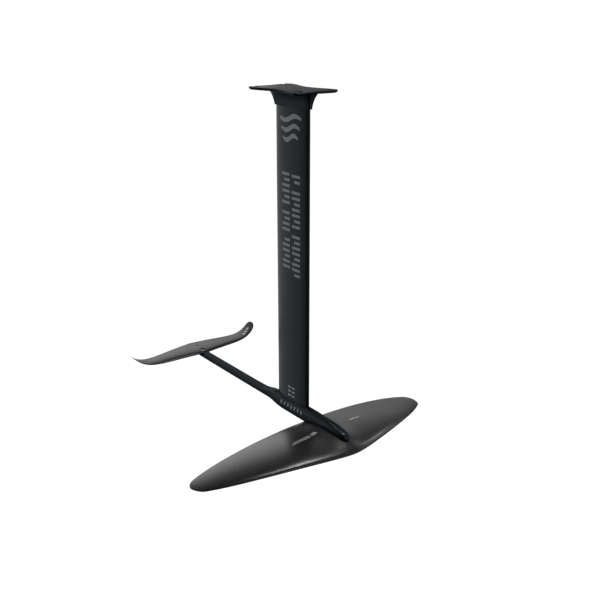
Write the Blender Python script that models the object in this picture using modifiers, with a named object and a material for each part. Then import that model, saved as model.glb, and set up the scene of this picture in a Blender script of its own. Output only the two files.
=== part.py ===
"""Hydrofoil for a wing board: base plate, mast, fuselage, front wing and stabiliser.

The origin is the centre of the base plate's upper face, which bolts under the board.
+Z is up, -Y is the direction of travel, +X is port. Units are metres.
"""

import math

import bmesh
import bpy

MM = 0.001
GAP = 0.3 * MM                    # air left between two pieces that touch

# base plate and its collar
PLATE_THICK = 6.6 * MM
PLATE_EDGE = 0.9 * MM             # chamfer of the upper edge
PLATE_UNDERCUT = 5 * MM           # how far the lower edge is drawn in
SLOT_X = 45 * MM                  # the four board bolts, half of 90 mm apart
SLOT_Y = 82.5 * MM                # half of 165 mm apart
SLOT_RADIUS = 4.25 * MM
SLOT_TRAVEL = 5 * MM              # half of the play each slot gives along the board
PLATE_END = 96.5 * MM
PLATE_SIDE = 63.5 * MM
PLATE_WAIST = 18 * MM             # how far the long sides draw in at the middle
PLATE_END_DIP = 5 * MM
LOBE_RADIUS = 15 * MM
COLLAR_BOTTOM = -42.5 * MM
COLLAR_LIP = 2.4 * MM             # wall of the collar at its lower rim, beside the mast
COLLAR_LIP_ENDS = 5.6 * MM        # and ahead of and behind it
COLLAR_TOP_LENGTH = 87 * MM       # half length of the flare under the plate
COLLAR_TOP_WIDTH = 30 * MM        # half width of the flare under the plate
COLLAR_TRAIL = 3 * MM             # the flare's upper end stands this far behind the mast's middle
COLLAR_FLARE = 2.2                # how suddenly it opens
COLLAR_STRAIGHT = 0.55            # share of its lengthwise opening that is a straight slope

# mast
MAST_TOP = -12 * MM
MAST_BOTTOM = -818 * MM
MAST_CHORD = 126.8 * MM
MAST_THICK = 16 * MM
MAST_NOSE_POWER = 0.62            # roundness of the section's nose
MAST_TAIL_POWER = 0.32            # added towards the tail, which is thinner
MAST_WALL = 2.3 * MM
MAST_CORE = 45 * MM               # half length of the middle chamber of the extrusion
MAST_WEB = 3 * MM
THINNEST_HALF_CHAMBER = 0.9 * MM
BLOCK_LENGTH = 60 * MM

# fuselage
FUSE_NOSE = -220 * MM
FUSE_TAIL = 512 * MM
POCKET_FLOOR = MAST_BOTTOM - GAP
CROWN_AT_MAST = 1.6               # superellipse powers of the section
CROWN_AT_TAIL = 2.6
CROWN_AT_NOSE = 3.2
KEEL_AT_MAST = 4.5
KEEL_AT_TAIL = 3.0
SLIM_FROM_TO = (55 * MM, 115 * MM)        # the section slims down behind the mast
BLUNT_FROM_TO = (-120 * MM, -200 * MM)    # and rounds off towards the nose
STAB_SEAT_FRONT = 431 * MM
# stations along Y, in metres
FUSE_HALF_WIDTH = [(-0.220, 0.0030), (-0.216, 0.0068), (-0.203, 0.0118), (-0.150, 0.0158), (-0.070, 0.0180),
                   (0.030, 0.0180), (0.105, 0.0120), (0.430, 0.0115), (0.512, 0.0100)]
FUSE_TOP = [(-0.220, -0.8265), (-0.2105, -0.8152), (-0.180, -0.8098), (-0.140, -0.8040), (-0.080, -0.8010),
            (0.064, -0.8012), (0.130, -0.8134), (0.180, -0.8148), (0.512, -0.8150)]
FUSE_KEEL = [(-0.220, -0.8295), (-0.212, -0.8335), (-0.198, -0.8400), (0.030, -0.8400), (0.105, -0.8358),
             (0.350, -0.8354), (0.470, -0.8346), (0.512, -0.8310)]

# front wing
WING_HALF_SPAN = 371.5 * MM
WING_MEAN_Y = -70.3 * MM
WING_FRONT_SWEEP = 181.6 * MM
WING_TAIL_SWEEP = 15.4 * MM
WING_TAIL_TRAIL = 7 * MM          # the middle of the trailing edge stands this much further back
WING_CAMBER = 0.018
WING_NOSE_ROUND = 0.080           # how blunt the leading edge is at the middle
WING_Z = -848.2 * MM
WING_DROOP = 39.9 * MM
WING_THICK = 21 * MM              # at the middle
WING_TIP_THICK = 2.2 * MM
WING_THICKEST = 0.30              # share of the chord where the section is thickest
WING_ROUNDNESS = 2.5              # power of its nose and of its taper
WING_HOLLOW = 1.7
WING_TIP_START = 0.955            # share of the half span where the tip starts to round off
WING_TIP_AXIS = 0.62              # share of the chord it closes on
SADDLE = 16 * MM                  # rise of the wing's upper face round the fuselage
SADDLE_WIDTH = 37 * MM
SADDLE_RISE = [(0, 0), (0.08, 0.08), (0.15, 0.24), (0.24, 0.42), (0.35, 0.57), (0.50, 0.74), (0.68, 0.92),
               (0.88, 0.74), (1, 0)]

# stabiliser
STAB_HALF_SPAN = 217.7 * MM
STAB_FRONT = 436.2 * MM
STAB_SWEEP = 41.7 * MM
STAB_BACK = 529.5 * MM
STAB_BACK_SWEEP = 16.6 * MM
STAB_TIP_TRAIL = 12 * MM
STAB_Z = -820.0 * MM
STAB_DROOP = 19.6 * MM
STAB_TIP_RISE = 46.4 * MM
STAB_THICK = 12 * MM
STAB_TIP_THICK = 2 * MM

# fasteners: radii, faces and y places on the centre line
M6 = 3 * MM
HEAD = 6.3 * MM
HEAD_RIM = 1.2 * MM               # how far a head's edge lies under its face
BUSH = 5.4 * MM
MAST_BOLT_FACE = -839.7 * MM
WING_BOLT_SINK = 0.8 * MM         # the heads lie this far above the wing's lower face
WING_BOLT_TIP = -825 * MM
WING_BUSH_TOP = -829 * MM
WING_BUSH_LOW = -839.2 * MM
STAB_SEAT_Z = -826.3 * MM
STAB_BOLT_FACE = -816.2 * MM
STAB_BOLT_LENGTH = 16.4 * MM
STAB_RIM_EASE = 2.2 * MM          # chamfer round the stabiliser's two holes
MAST_BOLT_LENGTH = 50 * MM
PLATE_BOLT_LENGTH = 45 * MM
STAB_BUSH_LOW = -832 * MM
TOP_BOLTS = {"front": -35 * MM, "rear": 12 * MM}
MAST_BOLTS = {"front": -24 * MM, "rear": 30 * MM}
WING_BOLTS = {"front": -176 * MM, "middle": -134 * MM, "rear": -92 * MM}
STAB_BOLTS = {"front": 452 * MM, "rear": 487 * MM}


# ---------------------------------------------------------------- helpers

def clear_scene():
    for old in list(bpy.data.objects):
        bpy.data.objects.remove(old, do_unlink=True)


def make_collections():
    parts = bpy.data.collections.new("hydrofoil")
    cutters = bpy.data.collections.new("cutters")
    bpy.context.scene.collection.children.link(parts)
    bpy.context.scene.collection.children.link(cutters)
    return parts, cutters


def make_material(name, colour, roughness, metallic):
    material = bpy.data.materials.new(name)
    material.use_nodes = True
    shader = material.node_tree.nodes["Principled BSDF"]
    shader.inputs["Base Color"].default_value = (*colour, 1.0)
    shader.inputs["Roughness"].default_value = roughness
    shader.inputs["Metallic"].default_value = metallic
    return material


def add_object(name, mesh, collection, material=None):
    made = bpy.data.objects.new(name, mesh)
    collection.objects.link(made)
    if material:
        mesh.materials.clear()
        mesh.materials.append(material)
        mesh.shade_smooth()
        mesh.set_sharp_from_angle(angle=math.radians(35))
    else:
        made.hide_render = True
        made.display_type = "WIRE"
    return made


def loft(rings):
    """A closed mesh through rings of points, capped at both ends."""
    shape = bmesh.new()
    rows = [[shape.verts.new(point) for point in ring] for ring in rings]
    for low, high in zip(rows, rows[1:]):
        for i in range(len(low)):
            j = (i + 1) % len(low)
            shape.faces.new((low[i], low[j], high[j], high[i]))
    for end in (rows[0], rows[-1]):
        shape.faces.new(end)
    bmesh.ops.recalc_face_normals(shape, faces=shape.faces)
    mesh = bpy.data.meshes.new("loft")
    shape.to_mesh(mesh)
    shape.free()
    return mesh


def slab(outlines, low, high):
    """Flat outlines in X and Y, the first one solid and the others holes, filled from low to high."""
    curve = bpy.data.curves.new("outline", "CURVE")
    curve.dimensions = "2D"
    curve.fill_mode = "BOTH"
    curve.extrude = (high - low) / 2
    for outline in outlines:
        spline = curve.splines.new("POLY")
        spline.points.add(len(outline) - 1)
        for point, (x, y) in zip(spline.points, outline):
            point.co = (x, y, 0, 1)
        spline.use_cyclic_u = True
    guide = bpy.data.objects.new("outline", curve)
    bpy.context.scene.collection.objects.link(guide)
    bpy.context.view_layer.update()
    evaluated = guide.evaluated_get(bpy.context.evaluated_depsgraph_get())
    mesh = bpy.data.meshes.new_from_object(evaluated)
    bpy.data.objects.remove(guide)
    shape = bmesh.new()
    shape.from_mesh(mesh)
    bmesh.ops.remove_doubles(shape, verts=shape.verts, dist=0.00001)
    bmesh.ops.translate(shape, verts=shape.verts, vec=(0, 0, (low + high) / 2))
    bmesh.ops.recalc_face_normals(shape, faces=shape.faces)
    shape.to_mesh(mesh)
    shape.free()
    return mesh


def turned(name, profile, steps, collection, material=None, closed=False):
    """A solid of revolution about Z. The profile is radius and height, from the top axis down."""
    mesh = bpy.data.meshes.new(name)
    edges = [(i, i + 1) for i in range(len(profile) - 1)]
    if closed:
        edges.append((len(profile) - 1, 0))
    mesh.from_pydata([(r, 0, z) for r, z in profile], edges, [])
    made = add_object(name, mesh, collection, material)
    screw = made.modifiers.new("turn", "SCREW")
    screw.steps = steps
    screw.render_steps = steps
    screw.use_merge_vertices = True
    screw.merge_threshold = 0.00001
    screw.use_smooth_shade = True
    return made


def prism(name, corners, radius, low, high, place, collection):
    """An upright cutter with a round or many-sided outline."""
    shape = bmesh.new()
    bmesh.ops.create_cone(shape, cap_ends=True, segments=corners, radius1=radius, radius2=radius,
                          depth=high - low)
    bmesh.ops.translate(shape, verts=shape.verts, vec=(place[0], place[1], (low + high) / 2))
    mesh = bpy.data.meshes.new(name)
    shape.to_mesh(mesh)
    shape.free()
    return add_object(name, mesh, collection)


def boolean(target, cutter, operation="DIFFERENCE"):
    cut = target.modifiers.new(cutter.name, "BOOLEAN")
    cut.operation = operation
    cut.solver = "EXACT"
    cut.object = cutter
    return cut


def smooth_step(low, high, value):
    """0 at low and 1 at high, with a soft start and end; low may be the greater."""
    t = min(1.0, max(0.0, (value - low) / (high - low)))
    return t * t * (3 - 2 * t)


def slope_at(table, i):
    """A slope at station i that never lets the curve overshoot: the harmonic mean of both sides."""
    if i in (0, len(table) - 1):
        return 0.0
    before = (table[i][1] - table[i - 1][1]) / (table[i][0] - table[i - 1][0])
    after = (table[i + 1][1] - table[i][1]) / (table[i + 1][0] - table[i][0])
    return 0.0 if before * after <= 0 else 2 * before * after / (before + after)


def between(table, value):
    """A smooth curve through a short table of (place, size)."""
    value = min(max(value, table[0][0]), table[-1][0])
    i = 0
    while value > table[i + 1][0]:
        i += 1
    (a, size_a), (b, size_b) = table[i], table[i + 1]
    span, t = b - a, (value - a) / (b - a)
    bend = size_b - size_a
    start, end = slope_at(table, i) * span, slope_at(table, i + 1) * span
    return size_a + start * t + (3 * bend - 2 * start - end) * t * t + (start + end - 2 * bend) * t ** 3


# ---------------------------------------------------------------- sections

def foil_bulge(along):
    """Half thickness of the mast's section as a share of the greatest, at -1 (nose) to 1 (tail)."""
    tail = smooth_step(0.05, 1.0, along)
    return math.sqrt(max(0.0, 1 - along * along)) ** (MAST_NOSE_POWER + MAST_TAIL_POWER * tail)


def foil_outline(half_chord, half_thick, count=24):
    """A symmetrical foil section along Y with a round nose at -Y and a thin round tail at +Y."""
    points = []
    for i in range(2 * count):
        angle = math.pi * i / count
        along = -math.cos(angle)
        side = 1 if math.sin(angle) >= 0 else -1
        points.append((side * half_thick * foil_bulge(along), along * half_chord))
    return points


def chamber(front, rear, steps, wall=MAST_WALL):
    """Outline of one hollow chamber of the mast, a wall's width inside its skin."""
    side = []
    for i in range(steps + 1):
        y = front + (rear - front) * i / steps
        half = MAST_THICK / 2 * foil_bulge(y / (MAST_CHORD / 2)) - wall
        side.append((max(THINNEST_HALF_CHAMBER, half), y))
    return side + [(-x, y) for x, y in reversed(side)]


# ---------------------------------------------------------------- base plate

def plate_outline():
    """Four round lobes joined by sides that draw in."""
    outline = []
    corner_x = PLATE_SIDE - LOBE_RADIUS
    corner_y = PLATE_END - LOBE_RADIUS
    quarter = 6
    sides = 10
    for sign_x, sign_y, start in ((1, 1, 0), (-1, 1, 90), (-1, -1, 180), (1, -1, 270)):
        for i in range(quarter + 1):
            angle = math.radians(start + 90 * i / quarter)
            outline.append((sign_x * corner_x + LOBE_RADIUS * math.cos(angle),
                            sign_y * corner_y + LOBE_RADIUS * math.sin(angle)))
        for i in range(1, sides):
            t = i / sides
            if start in (0, 180):
                dip = PLATE_END_DIP * math.sin(math.pi * t) ** 2
                outline.append((sign_x * corner_x * (1 - 2 * t), sign_y * (PLATE_END - dip)))
            else:
                waist = PLATE_WAIST * math.sin(math.pi * t) ** 1.6
                outline.append((sign_x * (PLATE_SIDE - waist), sign_y * corner_y * (1 - 2 * t)))
    return outline


def drawn_in(outline, inset):
    """The outline moved inward along its own normals."""
    moved = []
    for i, (x, y) in enumerate(outline):
        before, after = outline[i - 1], outline[(i + 1) % len(outline)]
        dx, dy = after[0] - before[0], after[1] - before[1]
        length = math.hypot(dx, dy)
        moved.append((x - dy / length * inset, y + dx / length * inset))
    return moved


def slot_outline(x, y, open_end):
    """A board-bolt slot along Y. The rear ones run out through the plate's edge."""
    reach = 40 * MM if open_end else SLOT_TRAVEL
    points = []
    for i in range(9):
        angle = math.pi + math.pi * i / 8
        points.append((x + SLOT_RADIUS * math.cos(angle), y - SLOT_TRAVEL + SLOT_RADIUS * math.sin(angle)))
    for i in range(9):
        angle = math.pi * i / 8
        points.append((x + SLOT_RADIUS * math.cos(angle), y + reach + SLOT_RADIUS * math.sin(angle)))
    return points


def collar_rings(steps=8, count=20):
    """The flare from the mast's section up to the underside of the plate."""
    rings = []
    low_length = MAST_CHORD / 2 + COLLAR_LIP_ENDS
    low_width = MAST_THICK / 2 + COLLAR_LIP
    for i in range(steps + 1):
        t = i / steps
        z = COLLAR_BOTTOM + (-PLATE_THICK / 2 - COLLAR_BOTTOM) * t
        flare = t ** COLLAR_FLARE
        opening = COLLAR_STRAIGHT * t + (1 - COLLAR_STRAIGHT) * flare
        half_length = low_length + (COLLAR_TOP_LENGTH - low_length) * opening
        half_width = low_width + (COLLAR_TOP_WIDTH - low_width) * flare
        rings.append([(x, y + COLLAR_TRAIL * t, z) for x, y in foil_outline(half_length, half_width, count)])
    return rings


def build_plate(parts, cutters, metal):
    outline = plate_outline()
    layers = ((-PLATE_THICK, PLATE_UNDERCUT), (-0.55 * PLATE_THICK, 0.35 * PLATE_UNDERCUT),
              (-0.35 * PLATE_THICK, 0), (-PLATE_EDGE, 0), (0, PLATE_EDGE))
    rings = [[(x, y, z) for x, y in drawn_in(outline, inset)] for z, inset in layers]
    plate = add_object("top_plate", loft(rings), parts, metal)
    collar = add_object("collar", loft(collar_rings()), cutters)
    boolean(plate, collar, "UNION")
    grown = foil_outline(MAST_CHORD / 2 + GAP, MAST_THICK / 2 + GAP)
    socket = add_object("mast_socket", slab([grown], COLLAR_BOTTOM - 5 * MM, MAST_TOP + GAP), cutters)
    boolean(plate, socket)
    for end, sign_y in (("front", -1), ("rear", 1)):
        for side, sign_x in (("starboard", -1), ("port", 1)):
            outline = slot_outline(sign_x * SLOT_X, sign_y * SLOT_Y, end == "rear")
            slot = add_object(f"slot_{end}_{side}", slab([outline], -40 * MM, 5 * MM), cutters)
            boolean(plate, slot)
    for end, y in TOP_BOLTS.items():
        boolean(plate, countersink(f"plate_sink_{end}", y, 0, -1, 20 * MM, cutters))
    return plate


# ---------------------------------------------------------------- fasteners

def countersink(name, y, face, into, depth, cutters, eased=0.0):
    """A cone and a clearance hole, from a face at height `face`, going down (-1) or up (+1)."""
    shank, rim = M6 + GAP, -HEAD_RIM - GAP
    cone = HEAD - shank
    profile = [(0, 6 * MM), (HEAD + eased, 6 * MM), (HEAD, rim), (shank, rim - cone),
               (shank, -depth), (0, -depth)]
    if eased:
        profile[2:2] = [(HEAD + eased, eased - 0.7 * MM), (HEAD, -0.7 * MM)]
    cutter = turned(name, profile, 20, cutters)
    cutter.location = (0, y, face)
    if into > 0:
        cutter.rotation_euler = (math.pi, 0, 0)
    return cutter


def flat_bolt(name, y, face, into, length, parts, cutters, metal):
    """A countersunk socket screw whose head is flush with the face at height `face`."""
    shank, head = M6, HEAD - GAP
    cone = head - shank
    profile = [(0, -0.5 * MM), (head - 0.3 * MM, -0.5 * MM), (head, -0.8 * MM), (head, -HEAD_RIM),
               (shank, -HEAD_RIM - cone), (shank, -length + 0.8 * MM), (shank - 0.8 * MM, -length),
               (0, -length)]
    bolt = turned(name, profile, 20, parts, metal)
    bolt.location = (0, y, face)
    key = prism(f"{name}_key", 6, head * 0.46, -0.5 * MM - head * 0.5, 2 * MM, (0, 0), cutters)
    key.location = (0, y, face)
    if into > 0:
        bolt.rotation_euler = (math.pi, 0, 0)
        key.rotation_euler = (math.pi, 0, 0)
    boolean(bolt, key)
    return bolt


def stepped(name, y, far, step, mouth, cutters):
    """A cutter for a bolt's hole that widens at `step` to take a thread bush, up or down to `mouth`."""
    bolt, bush = M6 + GAP, BUSH + GAP
    profile = [(0, far), (bolt, far), (bolt, step), (bush, step), (bush, mouth), (0, mouth)]
    if far < mouth:
        profile.reverse()
    cutter = turned(name, profile, 20, cutters)
    cutter.location = (0, y, 0)
    return cutter


def insert(name, y, top, bottom, parts, metal):
    """A plain steel bush with a through hole that stands for a threaded insert."""
    inner, outer = M6 + GAP, BUSH
    profile = [(inner, top), (outer, top), (outer, bottom), (inner, bottom)]
    made = turned(name, profile, 20, parts, metal, closed=True)
    made.location = (0, y, 0)
    return made


# ---------------------------------------------------------------- mast

def build_mast(parts, metal):
    nose = MAST_CHORD / 2
    outlines = [foil_outline(MAST_CHORD / 2, MAST_THICK / 2),
                chamber(-nose + 7 * MM, -MAST_CORE - MAST_WEB, 4),
                chamber(-MAST_CORE, MAST_CORE, 6),
                chamber(MAST_CORE + MAST_WEB, nose - 15 * MM, 4)]
    return add_object("mast", slab(outlines, MAST_BOTTOM, MAST_TOP), parts, metal)


def build_block(name, low, high, bolts, parts, cutters, metal):
    """A solid metal block that fills the middle chamber at one end of the mast and takes its bolts."""
    outline = chamber(-MAST_CORE + MM, MAST_CORE - MM, 6, MAST_WALL + GAP)
    block = add_object(name, slab([outline], low, high), parts, metal)
    for end, y in bolts.items():
        boolean(block, prism(f"{name}_{end}", 20, M6 + GAP, low - MM, high + MM, (0, y), cutters))
    return block


# ---------------------------------------------------------------- fuselage

def fuselage_ring(y, grow=0.0, count=28):
    """The section at y: an upper and a lower superellipse that meet at the widest line."""
    wide = between(FUSE_HALF_WIDTH, y) + grow
    high, low = between(FUSE_TOP, y), between(FUSE_KEEL, y)
    middle, tall = (high + low) / 2, (high - low) / 2 + grow
    slim = smooth_step(*SLIM_FROM_TO, y)
    blunt = smooth_step(*BLUNT_FROM_TO, y)
    crown = CROWN_AT_MAST + (CROWN_AT_TAIL - CROWN_AT_MAST) * slim + (CROWN_AT_NOSE - CROWN_AT_MAST) * blunt
    keel = KEEL_AT_MAST + (KEEL_AT_TAIL - KEEL_AT_MAST) * slim
    ring = []
    for i in range(count):
        angle = 2 * math.pi * i / count
        c, s = math.cos(angle), math.sin(angle)
        power = crown if s > 0 else keel
        ring.append((wide * math.copysign(abs(c) ** (2 / power), c), y,
                     middle + tall * math.copysign(abs(s) ** (2 / power), s)))
    return ring


def fuselage_rings(grow=0.0, steps=36):
    """Sections from the wedge nose to the slim tail, closer together at the nose."""
    length = FUSE_TAIL - FUSE_NOSE + 2 * grow
    return [fuselage_ring(FUSE_NOSE - grow + length * (step / steps) ** 1.35, grow)
            for step in range(steps + 1)]


def build_fuselage(parts, cutters, metal):
    body = add_object("fuselage", loft(fuselage_rings()), parts, metal)
    grown = foil_outline(MAST_CHORD / 2 + GAP, MAST_THICK / 2 + GAP)
    pocket = add_object("mast_pocket", slab([grown], POCKET_FLOOR, -780 * MM), cutters)
    boolean(body, pocket)
    seat_corners = [(-40 * MM, STAB_SEAT_FRONT), (40 * MM, STAB_SEAT_FRONT),
                    (40 * MM, 600 * MM), (-40 * MM, 600 * MM)]
    boolean(body, add_object("stabiliser_seat", slab([seat_corners], STAB_SEAT_Z, -780 * MM), cutters))
    for end, y in MAST_BOLTS.items():
        boolean(body, countersink(f"foot_sink_{end}", y, MAST_BOLT_FACE, 1, 30 * MM, cutters))
    for end, y in WING_BOLTS.items():
        port = stepped(f"wing_port_{end}", y, WING_BOLT_TIP + MM, WING_BUSH_TOP + GAP, -860 * MM, cutters)
        boolean(body, port)
    for end, y in STAB_BOLTS.items():
        boolean(body, stepped(f"stab_port_{end}", y, -860 * MM, STAB_BUSH_LOW - GAP, -800 * MM, cutters))
    return body


# ---------------------------------------------------------------- wings

def slim_share(along):
    """Half thickness of a slim section as a share of the full thickness, at a share of the chord."""
    return (1.4845 * math.sqrt(along) - 0.63 * along - 1.758 * along ** 2
            + 1.4215 * along ** 3 - 0.518 * along ** 4)


def blunt_share(along):
    """The same for a section with a full round nose, which tapers to a sharp tail."""
    if along < WING_THICKEST:
        return 0.5 * (1 - (1 - along / WING_THICKEST) ** WING_ROUNDNESS) ** (1 / WING_ROUNDNESS)
    return 0.5 * (1 - ((along - WING_THICKEST) / (1 - WING_THICKEST)) ** WING_HOLLOW)


def round_section(count):
    """Share of the chord from the nose, and side, for the points round a section."""
    angles = [2 * math.pi * i / count for i in range(count)]
    return [((1 - math.cos(angle)) / 2, 1 if math.sin(angle) >= 0 else -1) for angle in angles]


def stations(count):
    """Places from one tip to the other, from -1 to 1, closer together at the tips."""
    return [math.sin(math.pi / 2 * (2 * k / (count - 1) - 1)) for k in range(count)]


def wing_edges(u):
    """Leading and trailing edge at a share u of the half span."""
    blunt = (u * u + WING_NOSE_ROUND ** 2) ** 0.56 - WING_NOSE_ROUND ** 1.12
    front = WING_MEAN_Y - WING_FRONT_SWEEP * max(0.0, 1 - blunt) ** 0.598
    back = WING_MEAN_Y + WING_TAIL_SWEEP * math.sqrt(1 - u ** 9.8) + WING_TAIL_TRAIL * (1 - u * u)
    return front, back


def wing_height(x, along, side):
    """Height of the front wing's upper or lower skin at x, a share `along` of the chord."""
    u = min(1.0, abs(x) / WING_HALF_SPAN)
    front, back = wing_edges(u)
    thick = WING_TIP_THICK + (WING_THICK - WING_TIP_THICK) * (1 - u ** 1.6) ** 0.8
    z = WING_Z - WING_DROOP * u ** 2.23 + side * blunt_share(along) * thick
    z += WING_CAMBER * 4 * along * (1 - along) * (back - front)
    if side > 0:
        z += SADDLE * math.exp(-(x / SADDLE_WIDTH) ** 2) * between(SADDLE_RISE, along)
    return z


def front_wing_rings(count=34):
    """Elliptical swept wing that droops towards its round tips, with a raised saddle at the middle."""
    rings = []
    for share in stations(45):
        u = abs(share) * 0.9985
        x = share * WING_HALF_SPAN
        front, back = wing_edges(u)
        axis = front + (back - front) * WING_TIP_AXIS
        past = max(0.0, (abs(share) - WING_TIP_START) / (1 - WING_TIP_START))
        shrink = math.sqrt(max(0.0, 1 - past * past)) * 0.98 + 0.02
        middle = WING_Z - WING_DROOP * u ** 2.23
        rings.append([(x, axis + (along - WING_TIP_AXIS) * (back - front) * shrink,
                       middle + (wing_height(x, along, side) - middle) * shrink)
                      for along, side in round_section(count)])
    return rings


def wing_bolt_face(y):
    """Height of a wing bolt's face, just above the wing's lower skin at the middle."""
    front, back = wing_edges(0)
    return wing_height(0, (y - front) / (back - front), -1) + WING_BOLT_SINK


def build_front_wing(parts, cutters, carbon):
    wing = add_object("front_wing", loft(front_wing_rings()), parts, carbon)
    boolean(wing, add_object("fuselage_seat", loft(fuselage_rings(1.3 * GAP)), cutters))
    for end, y in WING_BOLTS.items():
        boolean(wing, countersink(f"wing_sink_{end}", y, wing_bolt_face(y), 1, 30 * MM, cutters))
    return wing


def stabiliser_rings(count=28):
    """A slim blade that droops a little, turns up at both tips and has its leading edge swept."""
    rings = []
    for share in stations(31):
        u = abs(share) * 0.998
        round_tip = math.sqrt(1 - u ** 30)
        front = STAB_FRONT + STAB_SWEEP * u ** 1.17
        back = STAB_BACK - STAB_BACK_SWEEP * u ** 0.8 + STAB_TIP_TRAIL * u ** 8
        axis = (front + back) / 2
        half_chord = (back - front) / 2 * round_tip
        thick = (STAB_TIP_THICK + (STAB_THICK - STAB_TIP_THICK) * (1 - u ** 2.5)) * max(round_tip, 0.2)
        middle = STAB_Z - STAB_DROOP * u * u + STAB_TIP_RISE * u ** 6.76
        rings.append([(share * STAB_HALF_SPAN, axis + (2 * along - 1) * half_chord,
                       middle + side * slim_share(along) * thick)
                      for along, side in round_section(count)])
    return rings


def build_stabiliser(parts, cutters, carbon):
    wing = add_object("stabiliser", loft(stabiliser_rings()), parts, carbon)
    for end, y in STAB_BOLTS.items():
        boolean(wing, countersink(f"stab_sink_{end}", y, STAB_BOLT_FACE, -1, 30 * MM, cutters, STAB_RIM_EASE))
    return wing


def main():
    clear_scene()
    parts, cutters = make_collections()
    anodised = make_material("anodised_aluminium", (0.035, 0.042, 0.05), 0.42, 0.85)
    raw = make_material("bare_aluminium", (0.55, 0.56, 0.58), 0.4, 1.0)
    carbon = make_material("matte_carbon", (0.03, 0.03, 0.032), 0.55, 0.0)
    steel = make_material("stainless_steel", (0.6, 0.6, 0.6), 0.3, 1.0)

    build_plate(parts, cutters, anodised)
    build_mast(parts, anodised)
    build_fuselage(parts, cutters, anodised)
    build_front_wing(parts, cutters, carbon)
    build_stabiliser(parts, cutters, carbon)

    build_block("mast_top_block", MAST_TOP - BLOCK_LENGTH, MAST_TOP, TOP_BOLTS, parts, cutters, raw)
    build_block("mast_foot_block", MAST_BOTTOM, MAST_BOTTOM + BLOCK_LENGTH, MAST_BOLTS, parts, cutters, raw)
    for end, y in TOP_BOLTS.items():
        flat_bolt(f"plate_bolt_{end}", y, 0, -1, PLATE_BOLT_LENGTH, parts, cutters, steel)
    for end, y in MAST_BOLTS.items():
        flat_bolt(f"mast_bolt_{end}", y, MAST_BOLT_FACE, 1, MAST_BOLT_LENGTH, parts, cutters, steel)
    for end, y in WING_BOLTS.items():
        face = wing_bolt_face(y)
        flat_bolt(f"wing_bolt_{end}", y, face, 1, WING_BOLT_TIP - face, parts, cutters, steel)
        insert(f"wing_bush_{end}", y, WING_BUSH_TOP, WING_BUSH_LOW, parts, steel)
    for end, y in STAB_BOLTS.items():
        flat_bolt(f"stabiliser_bolt_{end}", y, STAB_BOLT_FACE, -1, STAB_BOLT_LENGTH, parts, cutters, steel)
        insert(f"stabiliser_bush_{end}", y, STAB_SEAT_Z - 0.2 * MM, STAB_BUSH_LOW, parts, steel)


main()
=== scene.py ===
# %% [markdown]
# # A hydrofoil for a wing board
#
# A hydrofoil is a wing that flies under water and lifts a board clear of it. This one has a base
# plate that bolts under the board, a tall aluminium mast, a fuselage, a big front wing and a small
# stabiliser at the tail. The measured model comes first: it gives every piece its place and size,
# so nothing here has to be guessed or fitted later.

import math

import bmesh
import bpy
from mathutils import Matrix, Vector


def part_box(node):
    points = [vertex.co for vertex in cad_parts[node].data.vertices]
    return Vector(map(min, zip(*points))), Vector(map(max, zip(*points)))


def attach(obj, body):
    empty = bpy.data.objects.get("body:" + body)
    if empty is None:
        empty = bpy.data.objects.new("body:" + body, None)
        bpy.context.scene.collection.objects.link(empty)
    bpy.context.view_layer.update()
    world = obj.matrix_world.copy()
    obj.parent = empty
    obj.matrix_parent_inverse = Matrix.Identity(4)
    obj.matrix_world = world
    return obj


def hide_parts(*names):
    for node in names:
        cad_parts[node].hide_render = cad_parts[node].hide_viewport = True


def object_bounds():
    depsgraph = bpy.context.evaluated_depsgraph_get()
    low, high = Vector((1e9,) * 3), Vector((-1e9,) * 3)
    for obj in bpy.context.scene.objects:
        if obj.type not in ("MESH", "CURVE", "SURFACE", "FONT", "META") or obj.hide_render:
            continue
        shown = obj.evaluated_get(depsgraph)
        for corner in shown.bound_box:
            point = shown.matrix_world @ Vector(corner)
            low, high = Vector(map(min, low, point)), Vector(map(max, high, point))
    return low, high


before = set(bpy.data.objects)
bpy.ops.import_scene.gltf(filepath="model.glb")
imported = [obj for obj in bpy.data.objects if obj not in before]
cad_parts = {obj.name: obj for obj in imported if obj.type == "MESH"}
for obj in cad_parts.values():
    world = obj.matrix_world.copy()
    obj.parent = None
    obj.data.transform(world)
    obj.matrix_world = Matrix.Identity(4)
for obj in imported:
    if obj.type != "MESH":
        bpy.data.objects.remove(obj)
cad_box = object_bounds()
print("the measured object is", [round(high - low, 3) for low, high in zip(*cad_box)], "m")

# %% [markdown]
# ## Driving sizes
#
# Every length is written in millimetres and turned into metres once. +Z is up, -Y is the way the
# foil flies, +X is port, and the origin is the middle of the base plate's upper face.

# %% Sizes that several pieces share
MM = 0.001
GAP = 0.3 * MM                    # air between two pieces that touch
MAST_LOW, MAST_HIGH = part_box("mast")
MAST_CHORD = MAST_HIGH.y - MAST_LOW.y
MAST_THICK = MAST_HIGH.x - MAST_LOW.x
M6 = 3 * MM                       # radius of every screw's shank
HEAD = 6.3 * MM                   # radius of a countersunk head
HEAD_RIM = 1.2 * MM               # how far the head's edge lies under the surface
BUSH = 5.4 * MM                   # radius of a threaded bush
RIM_EASE = 0.8 * MM               # chamfer round a countersunk hole
PLATE_BOLTS = {"front": -35 * MM, "rear": 12 * MM}
MAST_BOLTS = {"front": -24 * MM, "rear": 30 * MM}
WING_BOLTS = {"front": -176 * MM, "middle": -134 * MM, "rear": -92 * MM}
TAIL_BOLTS = {"front": 452 * MM, "rear": 487 * MM}
print(f"mast section {MAST_CHORD / MM:.1f} by {MAST_THICK / MM:.1f} mm")

# %% [markdown]
# ## The camera
#
# The object is seen from its starboard bow and from a little above, with a lens a bit longer than
# the eye's own view. The whole mast has to fit, so the camera stands about two metres away.

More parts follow.
